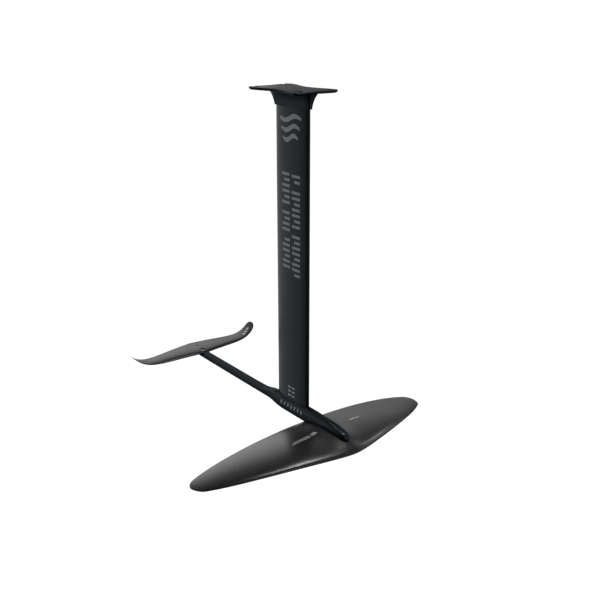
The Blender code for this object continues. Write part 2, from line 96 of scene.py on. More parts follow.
# %% Place the camera
CAMERA_PLACE = (-1.2086, -1.5527, 0.2010)
CAMERA_DOWN = 20.209              # degrees below the horizon
CAMERA_TURN = -38.396             # degrees round from looking along +Y
CAMERA_LENS, CAMERA_SENSOR = 49.63, 36.0

camera_data = bpy.data.cameras.new("studio_camera")
camera_data.lens = CAMERA_LENS
camera_data.sensor_width = CAMERA_SENSOR
camera = bpy.data.objects.new("studio_camera", camera_data)
camera.location = CAMERA_PLACE
camera.rotation_euler = (math.radians(90 - CAMERA_DOWN), 0, math.radians(CAMERA_TURN))
bpy.context.scene.collection.objects.link(camera)
bpy.context.scene.camera = camera
print("camera to mast:", round(math.hypot(*CAMERA_PLACE[:2]), 2), "m")

# %% [markdown]
# ## Small helpers for shapes
#
# Nearly every piece here is a loft: a stack of closed sections joined by a skin, the way a wing
# is laid up over ribs. A Boolean modifier then drills and pockets it, as a mill would. Each piece
# is made once, its modifiers are applied, and it is shaded smooth with crisp edges.

# %% A loft through closed sections
def loft(rings):
    """A closed mesh through rings of points, with both ends capped."""
    shape = bmesh.new()
    rows = [[shape.verts.new(point) for point in ring] for ring in rings]
    for low, high in zip(rows, rows[1:]):
        for i in range(len(low)):
            j = (i + 1) % len(low)
            shape.faces.new((low[i], low[j], high[j], high[i]))
    for end in (rows[0], rows[-1]):
        shape.faces.new(end)
    bmesh.ops.recalc_face_normals(shape, faces=shape.faces)
    mesh = bpy.data.meshes.new("loft")
    shape.to_mesh(mesh)
    shape.free()
    return mesh


# %% A flat outline with holes, given a thickness
def slab(outlines, low, high):
    """The first outline in X and Y is solid, the others are holes; it stands from low to high."""
    curve = bpy.data.curves.new("outline", "CURVE")
    curve.dimensions = "2D"
    curve.fill_mode = "BOTH"
    curve.extrude = (high - low) / 2
    for outline in outlines:
        spline = curve.splines.new("POLY")
        spline.points.add(len(outline) - 1)
        for point, (x, y) in zip(spline.points, outline):
            point.co = (x, y, 0, 1)
        spline.use_cyclic_u = True
    guide = bpy.data.objects.new("outline", curve)
    bpy.context.scene.collection.objects.link(guide)
    bpy.context.view_layer.update()
    filled = guide.evaluated_get(bpy.context.evaluated_depsgraph_get())
    mesh = bpy.data.meshes.new_from_object(filled)
    bpy.data.objects.remove(guide)
    shape = bmesh.new()
    shape.from_mesh(mesh)
    bmesh.ops.remove_doubles(shape, verts=shape.verts, dist=0.000005)
    bmesh.ops.translate(shape, verts=shape.verts, vec=(0, 0, (low + high) / 2))
    bmesh.ops.recalc_face_normals(shape, faces=shape.faces)
    shape.to_mesh(mesh)
    shape.free()
    return mesh


# %% A turned shape, as from a lathe
def turned(profile, steps=72):
    """A mesh of revolution about Z from a profile of radius and height that starts and ends on the axis."""
    rings = []
    for radius, z in profile[1:-1]:
        rings.append([(radius * math.cos(2 * math.pi * i / steps),
                       radius * math.sin(2 * math.pi * i / steps), z) for i in range(steps)])
    return loft(rings)


# %% Put a mesh in the scene, cut it, and finish its shading
def add(name, mesh):
    made = bpy.data.objects.new(name, mesh)
    bpy.context.scene.collection.objects.link(made)
    return made


def cut(target, cutters, operation="DIFFERENCE"):
    """Applies one exact Boolean for each cutter and throws the cutters away."""
    for cutter in cutters:
        step = target.modifiers.new(cutter.name, "BOOLEAN")
        step.operation = operation
        step.solver = "EXACT"
        step.object = cutter
    bpy.context.view_layer.update()
    done = target.evaluated_get(bpy.context.evaluated_depsgraph_get())
    mesh = bpy.data.meshes.new_from_object(done)
    target.modifiers.clear()
    target.data = mesh
    for cutter in cutters:
        bpy.data.objects.remove(cutter)
    return target


def finish_piece(piece, finish, nodes, crease=32):
    """Gives a piece its material, smooth shading and its place in the measured model."""
    piece.data.materials.clear()
    piece.data.materials.append(finish)
    piece.data.shade_smooth()
    piece.data.set_sharp_from_angle(angle=math.radians(crease))
    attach(piece, "root")
    if nodes:
        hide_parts(*nodes)
    print(f"{piece.name}: {len(piece.data.polygons)} faces")
    return piece


# %% Smooth steps between two sizes
def smooth_step(low, high, value):
    """0 at low and 1 at high, with a soft start and end; low may be the greater."""
    t = min(1.0, max(0.0, (value - low) / (high - low)))
    return t * t * (3 - 2 * t)


def slope_at(table, i):
    """A slope at station i that never lets the curve overshoot: the harmonic mean of both sides."""
    if i in (0, len(table) - 1):
        return 0.0
    before = (table[i][1] - table[i - 1][1]) / (table[i][0] - table[i - 1][0])
    after = (table[i + 1][1] - table[i][1]) / (table[i + 1][0] - table[i][0])
    return 0.0 if before * after <= 0 else 2 * before * after / (before + after)


def between(table, value):
    """A smooth curve through a short table of (place, size)."""
    value = min(max(value, table[0][0]), table[-1][0])
    i = 0
    while value > table[i + 1][0]:
        i += 1
    (a, size_a), (b, size_b) = table[i], table[i + 1]
    span, t = b - a, (value - a) / (b - a)
    bend = size_b - size_a
    start, end = slope_at(table, i) * span, slope_at(table, i + 1) * span
    return size_a + start * t + (3 * bend - 2 * start - end) * t * t + (start + end - 2 * bend) * t ** 3


# %% [markdown]
# ## Small helpers for materials
#
# Each finish is a node tree on Blender's Principled shader. The pattern is always worked out from
# the object's own coordinates, in metres, so it has its true size and stays put from every side.

# %% Start a material and wire its nodes
def new_finish(name):
    """A material with its Principled shader and the object's coordinates, in metres."""
    material = bpy.data.materials.new(name)
    material.use_nodes = True
    nodes, links = material.node_tree.nodes, material.node_tree.links
    shader = nodes["Principled BSDF"]
    place = nodes.new("ShaderNodeTexCoord").outputs["Object"]
    return material, nodes, links, shader, place


def stretched(nodes, links, place, scale):
    """The coordinates squeezed or stretched, for grain that runs one way."""
    mapping = nodes.new("ShaderNodeMapping")
    mapping.inputs["Scale"].default_value = scale
    links.new(place, mapping.inputs["Vector"])
    return mapping.outputs["Vector"]


def noise(nodes, links, place, scale, detail=3.0, rough=0.55):
    texture = nodes.new("ShaderNodeTexNoise")
    texture.inputs["Scale"].default_value = scale
    texture.inputs["Detail"].default_value = detail
    texture.inputs["Roughness"].default_value = rough
    links.new(place, texture.inputs["Vector"])
    return texture.outputs["Fac"]


def spread(nodes, links, value, low, high, from_low=0.3, from_high=0.7):
    """Maps a pattern that runs from from_low to from_high onto low to high."""
    ranged = nodes.new("ShaderNodeMapRange")
    limits = {"From Min": from_low, "From Max": from_high, "To Min": low, "To Max": high}
    for name, number in limits.items():
        ranged.inputs[name].default_value = number
    links.new(value, ranged.inputs["Value"])
    return ranged.outputs["Result"]


def mixed(nodes, links, factor, dark, light):
    mix = nodes.new("ShaderNodeMix")
    mix.data_type = "RGBA"
    mix.inputs["A"].default_value = (*dark, 1)
    mix.inputs["B"].default_value = (*light, 1)
    links.new(factor, mix.inputs["Factor"])
    return mix.outputs["Result"]


def maths(nodes, links, operation, first, second=None):
    """One arithmetic step; each input is a socket or a number."""
    step = nodes.new("ShaderNodeMath")
    step.operation = operation
    for socket, value in zip(step.inputs, (first, second)):
        if value is None:
            continue
        if isinstance(value, (int, float)):
            socket.default_value = value
        else:
            links.new(value, socket)
    return step.outputs[0]


def bumped(nodes, links, height, distance, strength, under=None):
    bump = nodes.new("ShaderNodeBump")
    bump.inputs["Distance"].default_value = distance
    bump.inputs["Strength"].default_value = strength
    links.new(height, bump.inputs["Height"])
    if under:
        links.new(under, bump.inputs["Normal"])
    return bump.outputs["Normal"]


# %% [markdown]
# ## Anodised aluminium
#
# The mast, the fuselage and the base plate are aluminium, blasted with fine beads and anodised
# almost black with a blue cast. Blasting leaves a satin skin with a tiny grain. The drawn mast
# also keeps the faint long lines of its die. Metal takes its colour from what it reflects, so the
# base colour is dark and the roughness decides how far the studio's lights spread over it.

# %% Anodised finish
MAST_TONES = (0.0230, 0.0290, 0.0310), (0.0300, 0.0365, 0.0385)
MILLED_TONES = (0.0300, 0.0345, 0.0378), (0.0390, 0.0440, 0.0475)


def anodised(name, tones, edge, die_lines):
    material, nodes, links, shader, place = new_finish(name)
    shader.inputs["Specular Tint"].default_value = (edge, edge, edge, 1)
    cloud = noise(nodes, links, place, 22, detail=4)
    links.new(mixed(nodes, links, cloud, *tones), shader.inputs["Base Color"])
    shader.inputs["Metallic"].default_value = 1.0
    grain = noise(nodes, links, place, 2600, detail=2)
    blast = bumped(nodes, links, grain, 0.00003, 0.35)
    if die_lines:
        along = stretched(nodes, links, place, (500, 500, 3))
        lines = noise(nodes, links, along, 1.0, detail=3)
        blast = bumped(nodes, links, lines, 0.00002, 0.25, blast)
        links.new(spread(nodes, links, lines, 0.29, 0.36), shader.inputs["Roughness"])
    else:
        links.new(spread(nodes, links, cloud, 0.31, 0.38), shader.inputs["Roughness"])
    links.new(blast, shader.inputs["Normal"])
    return material


mast_finish = anodised("anodised_drawn", MAST_TONES, 1.0, True)
milled_finish = anodised("anodised_milled", MILLED_TONES, 0.40, False)
print("anodised finishes:", mast_finish.name, milled_finish.name)

# %% [markdown]
# ## Moulded carbon
#
# Both wings are carbon cloth pressed in a mould under a matt resin skin. The cloth is a twill:
# each tow passes over two and under two, shifted by one at every row, which gives the slanted
# lines. The weave is worked out with a few arithmetic nodes: where the warp is on top the tow
# bulges one way, where the weft is on top it bulges the other way.

# %% Carbon finish
TOW = 2.0 * MM                    # width of one tow of the cloth
TWILL_REPEAT, TWILL_FLOAT = 4.0, 1.5    # tows in one repeat, and the limit below which the warp is on top
CARBON_DARK = (0.0085, 0.0085, 0.0088)
CARBON_LIGHT = (0.0165, 0.0165, 0.0168)


def tow_bulge(nodes, links, place):
    """A row of round ridges, one for each tow, along one coordinate counted in tows."""
    turns = maths(nodes, links, "MULTIPLY", place, math.pi)
    return maths(nodes, links, "ABSOLUTE", maths(nodes, links, "SINE", turns))


def carbon(name, shine, relief):
    material, nodes, links, shader, place = new_finish(name)
    split = nodes.new("ShaderNodeSeparateXYZ")
    links.new(stretched(nodes, links, place, (1 / TOW, 1 / TOW, 1 / TOW)), split.inputs["Vector"])
    across, along = split.outputs["X"], split.outputs["Y"]
    step = maths(nodes, links, "SUBTRACT", maths(nodes, links, "FLOOR", across),
                 maths(nodes, links, "FLOOR", along))
    in_repeat = maths(nodes, links, "FLOORED_MODULO", step, TWILL_REPEAT)
    over = maths(nodes, links, "LESS_THAN", in_repeat, TWILL_FLOAT)
    weave = nodes.new("ShaderNodeMix")
    links.new(over, weave.inputs["Factor"])
    links.new(tow_bulge(nodes, links, along), weave.inputs["A"])
    links.new(tow_bulge(nodes, links, across), weave.inputs["B"])
    cloud = noise(nodes, links, place, 35, detail=5, rough=0.65)
    tone = maths(nodes, links, "ADD", maths(nodes, links, "MULTIPLY", over, 0.35),
                 maths(nodes, links, "MULTIPLY", cloud, 0.65))
    links.new(mixed(nodes, links, tone, CARBON_DARK, CARBON_LIGHT), shader.inputs["Base Color"])
    grain = noise(nodes, links, place, 900, detail=3)
    links.new(spread(nodes, links, grain, 0.24, 0.33), shader.inputs["Roughness"])
    cloth = bumped(nodes, links, weave.outputs["Result"], 0.00006, 0.15 * relief)
    links.new(bumped(nodes, links, grain, 0.00004, 0.35 * relief, cloth), shader.inputs["Normal"])
    shader.inputs["Specular IOR Level"].default_value = shine
    return material


carbon_finish = carbon("matt_carbon", 0.62, 1.0)
tail_carbon_finish = carbon("fine_matt_carbon", 0.24, 0.5)
print("tows are", round(TOW / MM, 1), "mm wide")

# %% [markdown]
# ## Fasteners, bushes and blocks
#
# The screws are stainless steel, turned on a lathe and then tumbled. The blocks inside the mast
# are bare aluminium as it comes from the saw and the mill. Both get fine lines and a patchy
# roughness, because a machined face is never evenly bright.

# %% Bare metal finishes
def machined(name, dark, light, rough):
    material, nodes, links, shader, place = new_finish(name)
    cloud = noise(nodes, links, place, 160, detail=4)
    lines = noise(nodes, links, stretched(nodes, links, place, (350, 350, 5000)), 1.0, detail=2)
    links.new(mixed(nodes, links, cloud, dark, light), shader.inputs["Base Color"])
    shader.inputs["Metallic"].default_value = 1.0
    links.new(spread(nodes, links, lines, rough - 0.06, rough + 0.08), shader.inputs["Roughness"])
    links.new(bumped(nodes, links, lines, 0.00003, 0.3), shader.inputs["Normal"])
    return material


steel_finish = machined("turned_steel", (0.24, 0.24, 0.235), (0.36, 0.36, 0.355), 0.30)
raw_finish = machined("milled_aluminium", (0.50, 0.51, 0.52), (0.66, 0.67, 0.68), 0.38)
print("machined finishes:", steel_finish.name, raw_finish.name)


# %% [markdown]
# ## Printed marks
#
# A foil carries pad-printed marks: a sign near the top, a scale down the mast and small marks
# elsewhere. Here they are plain waves, ticks and bars that mean nothing. The ink is a thin matt
# film, so it is a little rough, slightly uneven, and hides the metal's shine.

# %% Ink finishes
def ink(name, dark, light):
    material, nodes, links, shader, place = new_finish(name)
    cloud = noise(nodes, links, place, 450, detail=4, rough=0.7)
    links.new(mixed(nodes, links, cloud, dark, light), shader.inputs["Base Color"])
    links.new(spread(nodes, links, cloud, 0.52, 0.66), shader.inputs["Roughness"])
    links.new(bumped(nodes, links, cloud, 0.00002, 0.3), shader.inputs["Normal"])
    return material


grey_ink = ink("grey_ink", (0.36, 0.36, 0.37), (0.46, 0.46, 0.47))
pale_ink = ink("pale_ink", (0.58, 0.58, 0.59), (0.70, 0.70, 0.71))
print("inks:", grey_ink.name, pale_ink.name)

# %% [markdown]
# ## The mast
#
# The mast is one aluminium extrusion: a slim foil outside, so that it slices through the water,
# and three hollow chambers inside to keep it light and stiff. An extrusion is exactly one flat
# outline pushed along a line, so the same outline serves for the whole height.

# %% The foil section of the mast
NOSE_FULLNESS, TAIL_FULLNESS = 0.62, 0.94   # 1 is an ellipse, less is fuller
MAST_WALL = 2.3 * MM
THINNEST_HALF_CHAMBER = 0.9 * MM


def foil_bulge(along):
    """Share of the half thickness at a place from -1 at the nose to 1 at the tail."""
    fullness = NOSE_FULLNESS + (TAIL_FULLNESS - NOSE_FULLNESS) * smooth_step(0.05, 1.0, along)
    return math.sin(math.acos(-along)) ** fullness


def foil_half(y):
    """Half thickness of the mast at y."""
    return MAST_THICK / 2 * foil_bulge(max(-1.0, min(1.0, y / (MAST_CHORD / 2))))


def foil_outline(grown=0.0, count=90):
    """The mast's outline from the nose at -Y round to the tail and back."""
    points = []
    for i in range(2 * count):
        angle = math.pi * i / count
        along = -math.cos(angle)
        side = 1 if math.sin(angle) >= 0 else -1
        points.append((side * (MAST_THICK / 2 + grown) * foil_bulge(along), along * (MAST_CHORD / 2 + grown)))
    return points


def chamber(front, rear, steps=14):
    """One hollow chamber of the extrusion, a wall's width inside the skin."""
    side = []
    for i in range(steps + 1):
        y = front + (rear - front) * i / steps
        side.append((max(THINNEST_HALF_CHAMBER, foil_half(y) - MAST_WALL), y))
    return side + [(-x, y) for x, y in reversed(side)]


# %% Extrude the mast
CORE = 45 * MM                    # half length of the middle chamber
WEB = 3 * MM                      # wall between two chambers
SOLID_NOSE, SOLID_TAIL = 7 * MM, 15 * MM
half_chord = MAST_CHORD / 2
mast_outlines = [foil_outline(),
                 chamber(-half_chord + SOLID_NOSE, -CORE - WEB),
                 chamber(-CORE, CORE),
                 chamber(CORE + WEB, half_chord - SOLID_TAIL)]
mast = add("mast_extrusion", slab(mast_outlines, MAST_LOW.z, MAST_HIGH.z))
finish_piece(mast, mast_finish, ["mast"])

# %% [markdown]
# ## The base plate and its collar
#
# The plate is milled from one block with the collar that grips the mast's head. Seen from above
# it has four round lobes with a slot in each for the board's bolts, and sides that draw in between
# them. The upper edge is eased, the lower edge is cut back so that the rim looks thin. The collar
# flares from the mast's section out to the plate, and its lower lip stands a little proud.

# %% The plate's outline
PLATE_THICK = 6.6 * MM
PLATE_END = 96.5 * MM
PLATE_SIDE = 63.5 * MM
PLATE_WAIST = 18 * MM
PLATE_END_DIP = 5 * MM
PLATE_UNDERCUT = 5 * MM
LOBE_RADIUS = 15 * MM
SLOT_X, SLOT_Y = 45 * MM, 82.5 * MM
SLOT_RADIUS, SLOT_TRAVEL = 4.25 * MM, 5 * MM


def plate_outline(quarter=14, sides=44):
    """Four round lobes joined by sides that draw in, anticlockwise."""
    outline = []
    corner_x, corner_y = PLATE_SIDE - LOBE_RADIUS, PLATE_END - LOBE_RADIUS
    for sign_x, sign_y, start in ((1, 1, 0), (-1, 1, 90), (-1, -1, 180), (1, -1, 270)):
        for i in range(quarter + 1):
            angle = math.radians(start + 90 * i / quarter)
            outline.append((sign_x * corner_x + LOBE_RADIUS * math.cos(angle),
                            sign_y * corner_y + LOBE_RADIUS * math.sin(angle)))
        for i in range(1, sides):
            t = i / sides
            if start in (0, 180):
                dip = PLATE_END_DIP * math.sin(math.pi * t) ** 2
                outline.append((sign_x * corner_x * (1 - 2 * t), sign_y * (PLATE_END - dip)))
            else:
                waist = PLATE_WAIST * math.sin(math.pi * t) ** 1.6
                outline.append((sign_x * (PLATE_SIDE - waist), sign_y * corner_y * (1 - 2 * t)))
    return outline


def drawn_in(outline, inset):
    """The outline moved inward along its own normals."""
    moved = []
    for i, (x, y) in enumerate(outline):
        before, after = outline[i - 1], outline[(i + 1) % len(outline)]
        dx, dy = after[0] - before[0], after[1] - before[1]
        length = math.hypot(dx, dy)
        moved.append((x - dy / length * inset, y + dx / length * inset))
    return moved


# %% The plate's edge, from the underside up
def plate_layers(eased=0.9 * MM, steps=5):
    """Pairs of height and inset: a cut-back underside, a short upright rim and a rounded upper edge."""
    layers = [(-PLATE_THICK, PLATE_UNDERCUT), (-0.97 * PLATE_THICK, 0.80 * PLATE_UNDERCUT)]
    for i in range(1, 7):
        t = i / 6
        layers.append((-PLATE_THICK * (0.97 - 0.57 * t), 0.80 * PLATE_UNDERCUT * (1 - t) ** 1.5))
    for i in range(steps + 1):
        angle = math.pi / 2 * i / steps
        layers.append((-eased + eased * math.sin(angle), eased * (1 - math.cos(angle))))
    return layers


# %% The collar's flare
COLLAR_BOTTOM = -42.5 * MM
COLLAR_LIP = 2.4 * MM
COLLAR_LIP_ENDS = 5.6 * MM
COLLAR_TOP_LENGTH = 87 * MM
COLLAR_TOP_WIDTH = 30 * MM
COLLAR_TRAIL = 3 * MM             # the flare's upper end stands this far behind the mast's middle


def collar_rings(steps=40, lip_round=0.7 * MM):
    low_length, low_width = MAST_CHORD / 2 + COLLAR_LIP_ENDS, MAST_THICK / 2 + COLLAR_LIP
    section = [(x / (MAST_THICK / 2), y / (MAST_CHORD / 2)) for x, y in foil_outline(count=80)]
    rings = []
    for i in range(4):
        angle = math.pi / 2 * i / 4
        inset = lip_round * (1 - math.sin(angle))
        z = COLLAR_BOTTOM + lip_round * (1 - math.cos(angle))
        rings.append([(x * (low_width - inset), y * (low_length - inset), z) for x, y in section])
    for i in range(1, steps + 1):
        t = i / steps
        z = COLLAR_BOTTOM + (-PLATE_THICK / 2 - COLLAR_BOTTOM) * t
        flare = t ** 2.2
        half_length = low_length + (COLLAR_TOP_LENGTH - low_length) * (0.55 * t + 0.45 * flare)
        half_width = low_width + (COLLAR_TOP_WIDTH - low_width) * flare
        rings.append([(x * half_width, y * half_length + COLLAR_TRAIL * t, z) for x, y in section])
    return rings


# %% Cutters for the slots, with an eased rim
def slot_outline(x, y, radius, travel_rear, steps=20):
    points = []
    for i in range(steps + 1):
        angle = math.pi + math.pi * i / steps
        points.append((x + radius * math.cos(angle), y - SLOT_TRAVEL + radius * math.sin(angle)))
    for i in range(steps + 1):
        angle = math.pi * i / steps
        points.append((x + radius * math.cos(angle), y + travel_rear + radius * math.sin(angle)))
    return points


def slot_cutter(name, x, y, open_end, ease=0.6 * MM):
    """A slot along Y that flares at the plate's upper face. The rear ones run out of the plate."""
    reach = 40 * MM if open_end else SLOT_TRAVEL
    rings = []
    for z, grow in ((-40 * MM, 0), (-ease, 0), (-0.35 * ease, 0.25 * ease), (0, ease), (5 * MM, ease)):
        rings.append([(px, py, z) for px, py in slot_outline(x, y, SLOT_RADIUS + grow, reach)])
    return add(name, loft(rings))


# %% [markdown]
# ## Screws and their holes
#
# Every joint is pulled tight by M6 countersunk socket screws, because nothing may stick out into
# the water. A screw is a turned profile with a six-sided key hole. Its hole is the same shape with
# a hair of air round it, and its rim is eased so that the edge catches the light.

# %% A countersunk hole
def countersink(name, y, face, into, depth, eased=RIM_EASE):
    """A cutter for a flat head, from a face at height `face`, going down (-1) or up (+1)."""
    rim = -HEAD_RIM - GAP
    cone = HEAD - M6
    profile = [(0, 8 * MM), (HEAD + eased, 8 * MM), (HEAD + eased, eased - 0.7 * MM), (HEAD, -0.7 * MM),
               (HEAD, rim), (M6 + GAP, rim - cone), (M6 + GAP, -depth), (0, -depth)]
    cutter = add(name, turned(profile))
    cutter.location = (0, y, face)
    if into > 0:
        cutter.rotation_euler = (math.pi, 0, 0)
    return cutter


# %% A countersunk socket screw
def socket_screw(name, y, face, into, length, node):
    """A flat-head screw with a rounded rim, a six-sided key hole and a chamfered tip."""
    head = HEAD - GAP
    top = -0.45 * MM
    neck = -HEAD_RIM - head + M6
    rim_round = 0.5 * MM
    pitch, thread_depth = 1.0 * MM, 0.45 * MM
    profile = [(0, top)]
    for i in range(6):
        angle = math.pi / 2 * i / 5
        profile.append((head - rim_round + rim_round * math.sin(angle),
                        top - rim_round + rim_round * math.cos(angle)))
    profile += [(head, -HEAD_RIM), (M6 + 0.4 * MM, neck), (M6, neck - 0.6 * MM)]
    turn = -HEAD_RIM - head
    while turn > -length + 1.6 * pitch:
        profile += [(M6, turn), (M6 - thread_depth, turn - pitch / 2)]
        turn -= pitch
    profile += [(M6 - 0.8 * MM, -length), (0, -length)]
    screw = add(name, turned(profile, 60))
    key_rings = []
    for z, radius in ((-head * 0.5 + top - 0.4 * MM, 0.2 * MM), (-head * 0.5 + top + 0.4 * MM, 2.9 * MM),
                      (top - 0.35 * MM, 2.9 * MM), (top, 3.25 * MM), (3 * MM, 3.25 * MM)):
        key_rings.append([(radius * math.cos(math.pi * i / 3), radius * math.sin(math.pi * i / 3), z)
                          for i in range(6)])
    cut(screw, [add("key_hole", loft(key_rings))])
    screw.data.transform(screw.matrix_world)
    screw.location = (0, y, face)
    if into > 0:
        screw.rotation_euler = (math.pi, 0, 0)
    bpy.context.view_layer.update()
    screw.data.transform(screw.matrix_world)
    screw.location = (0, 0, 0)
    screw.rotation_euler = (0, 0, 0)
    return finish_piece(screw, steel_finish, [node])


# %% Mill the plate with its collar
outline = plate_outline()
plate_rings = [[(x, y, z) for x, y in drawn_in(outline, inset)] for z, inset in plate_layers()]
plate = add("base_plate", loft(plate_rings))
cut(plate, [add("collar", loft(collar_rings()))], "UNION")
socket = add("mast_socket", slab([foil_outline(GAP)], COLLAR_BOTTOM - 5 * MM, MAST_HIGH.z + GAP))
plate_cutters = [socket]
for end, sign_y in (("front", -1), ("rear", 1)):
    for side, sign_x in (("starboard", -1), ("port", 1)):
        plate_cutters.append(slot_cutter(f"slot_{end}_{side}", sign_x * SLOT_X, sign_y * SLOT_Y,
                                         end == "rear"))
for end, y in PLATE_BOLTS.items():
    plate_cutters.append(countersink(f"plate_sink_{end}", y, 0, -1, 20 * MM))
cut(plate, plate_cutters)
finish_piece(plate, milled_finish, ["top_plate"])

# %% [markdown]
# ## The fuselage
#
# The fuselage carries the mast and both wings. It is milled from bar: a blunt wedge at the nose,
# a tall body with a narrow crown where the mast stands in its pocket, and a slim round-edged beam
# back to the tail. Its section is an upper and a lower half of a superellipse, a curve that goes
# from a pointed oval to a rounded box as one number changes.

# %% The fuselage's stations
FUSE_NOSE, FUSE_TAIL = -220 * MM, 512 * MM
CROWN_AT_MAST, CROWN_AT_TAIL, CROWN_AT_NOSE = 1.6, 2.6, 3.2
KEEL_AT_MAST, KEEL_AT_TAIL = 4.5, 3.0
HALF_WIDTH = [(-0.220, 0.0030), (-0.216, 0.0068), (-0.203, 0.0118), (-0.150, 0.0158),
              (-0.070, 0.0180), (0.030, 0.0180), (0.105, 0.0120), (0.430, 0.0115), (0.512, 0.0100)]
TOP_LINE = [(-0.220, -0.8265), (-0.2105, -0.8152), (-0.180, -0.8098), (-0.140, -0.8040), (-0.080, -0.8010),
            (0.064, -0.8012), (0.130, -0.8134), (0.180, -0.8148), (0.512, -0.8150)]
KEEL_LINE = [(-0.220, -0.8295), (-0.212, -0.8335), (-0.198, -0.8400), (0.030, -0.8400), (0.105, -0.8358),
             (0.350, -0.8354), (0.470, -0.8346), (0.512, -0.8310)]


def fuselage_shape(y):
    """Half width, top, bottom and the two superellipse powers at y."""
    slim = smooth_step(55 * MM, 115 * MM, y)
    blunt = smooth_step(-120 * MM, -200 * MM, y)
    crown = CROWN_AT_MAST + (CROWN_AT_TAIL - CROWN_AT_MAST) * slim + (CROWN_AT_NOSE - CROWN_AT_MAST) * blunt
    keel = KEEL_AT_MAST + (KEEL_AT_TAIL - KEEL_AT_MAST) * slim
    return between(HALF_WIDTH, y), between(TOP_LINE, y), between(KEEL_LINE, y), crown, keel


def fuselage_ring(y, grow=0.0, count=72):
    wide, high, low, crown, keel = fuselage_shape(y)
    middle, tall = (high + low) / 2, (high - low) / 2 + grow
    ring = []
    for i in range(count):
        angle = 2 * math.pi * i / count
        c, s = math.cos(angle), math.sin(angle)
        power = crown if s > 0 else keel
        ring.append(((wide + grow) * math.copysign(abs(c) ** (2 / power), c), y,
                     middle + tall * math.copysign(abs(s) ** (2 / power), s)))
    return ring


def fuselage_rings(grow=0.0, steps=150):
    """Sections from nose to tail, closer together at the nose."""
    rings = []
    for step in range(steps + 1):
        t = (step / steps) ** 1.35
        rings.append(fuselage_ring(FUSE_NOSE - grow + (FUSE_TAIL - FUSE_NOSE + 2 * grow) * t, grow))
    return rings


# %% Mill the fuselage
MAST_BOLT_FACE = -839.7 * MM
WING_BOLT_TIP, WING_BUSH_TOP = -825 * MM, -829 * MM
TAIL_SEAT_FRONT, TAIL_SEAT_Z = 431 * MM, -826.3 * MM
TAIL_BUSH_LOW = -832 * MM


def stepped(name, y, far, step, mouth):
    """A hole that widens at `step` for a threaded bush and runs out at `mouth`."""
    narrow, wide = M6 + GAP, BUSH + GAP
    profile = [(0, far), (narrow, far), (narrow, step), (wide, step), (wide, mouth), (0, mouth)]
    cutter = add(name, turned(profile))
    cutter.location = (0, y, 0)
    return cutter


fuselage = add("fuselage_beam", loft(fuselage_rings()))
fuse_cutters = [add("mast_pocket", slab([foil_outline(GAP)], MAST_LOW.z - GAP, -780 * MM))]
seat = [(-40 * MM, TAIL_SEAT_FRONT), (40 * MM, TAIL_SEAT_FRONT), (40 * MM, 600 * MM), (-40 * MM, 600 * MM)]
fuse_cutters.append(add("tail_seat", slab([seat], TAIL_SEAT_Z, -780 * MM)))
for end, y in MAST_BOLTS.items():
    fuse_cutters.append(countersink(f"foot_sink_{end}", y, MAST_BOLT_FACE, 1, 30 * MM))
for end, y in WING_BOLTS.items():
    fuse_cutters.append(stepped(f"wing_port_{end}", y, WING_BOLT_TIP + MM, WING_BUSH_TOP + GAP, -860 * MM))
for end, y in TAIL_BOLTS.items():
    fuse_cutters.append(stepped(f"tail_port_{end}", y, -860 * MM, TAIL_BUSH_LOW - GAP, -800 * MM))
cut(fuselage, fuse_cutters)
finish_piece(fuselage, milled_finish, ["fuselage"])

# %% [markdown]
# ## The front wing
#
# The front wing carries the rider. Its plan is a half ellipse: a leading edge that sweeps back
# more and more, a nearly straight trailing edge, and round tips that droop. The section is a thick
# cambered foil with a round nose. At the middle the upper skin swells into a saddle that takes the
# fuselage's nose, so the load goes from the carbon into the metal over a long, smooth fairing.

# %% Foil section of the wings
def foil_share(along):
    """Half thickness of a classic low-drag section, as a share of the full thickness."""
    return (1.4845 * math.sqrt(along) - 0.63 * along - 1.758 * along ** 2
            + 1.4215 * along ** 3 - 0.518 * along ** 4)


def blunt_share(along, thickest=0.30, roundness=2.5, hollow=1.7):
    """Half thickness of a blunt section: a full round nose, then a long taper to a sharp tail."""
    if along < thickest:
        return 0.5 * (1 - (1 - along / thickest) ** roundness) ** (1 / roundness)
    return 0.5 * (1 - ((along - thickest) / (1 - thickest)) ** hollow)


def wing_section(count):
    """Share of the chord from the nose and signed share of the thickness, round the section."""
    points = []
    for i in range(count):
        angle = 2 * math.pi * i / count
        along = (1 - math.cos(angle)) / 2
        side = 1 if math.sin(angle) >= 0 else -1
        points.append((along, side * foil_share(along)))
    return points


def stations(count):
    """Places from one tip to the other, from -1 to 1, closer together at the tips."""
    return [math.sin(math.pi / 2 * (2 * k / (count - 1) - 1)) for k in range(count)]


def tip_round(u, start):
    """1 over most of the span, and an elliptical fall to almost nothing from `start` to the tip."""
    if u <= start:
        return 1.0
    t = (u - start) / (1 - start)
    return math.sqrt(max(0.0, 1 - t * t)) * 0.98 + 0.02


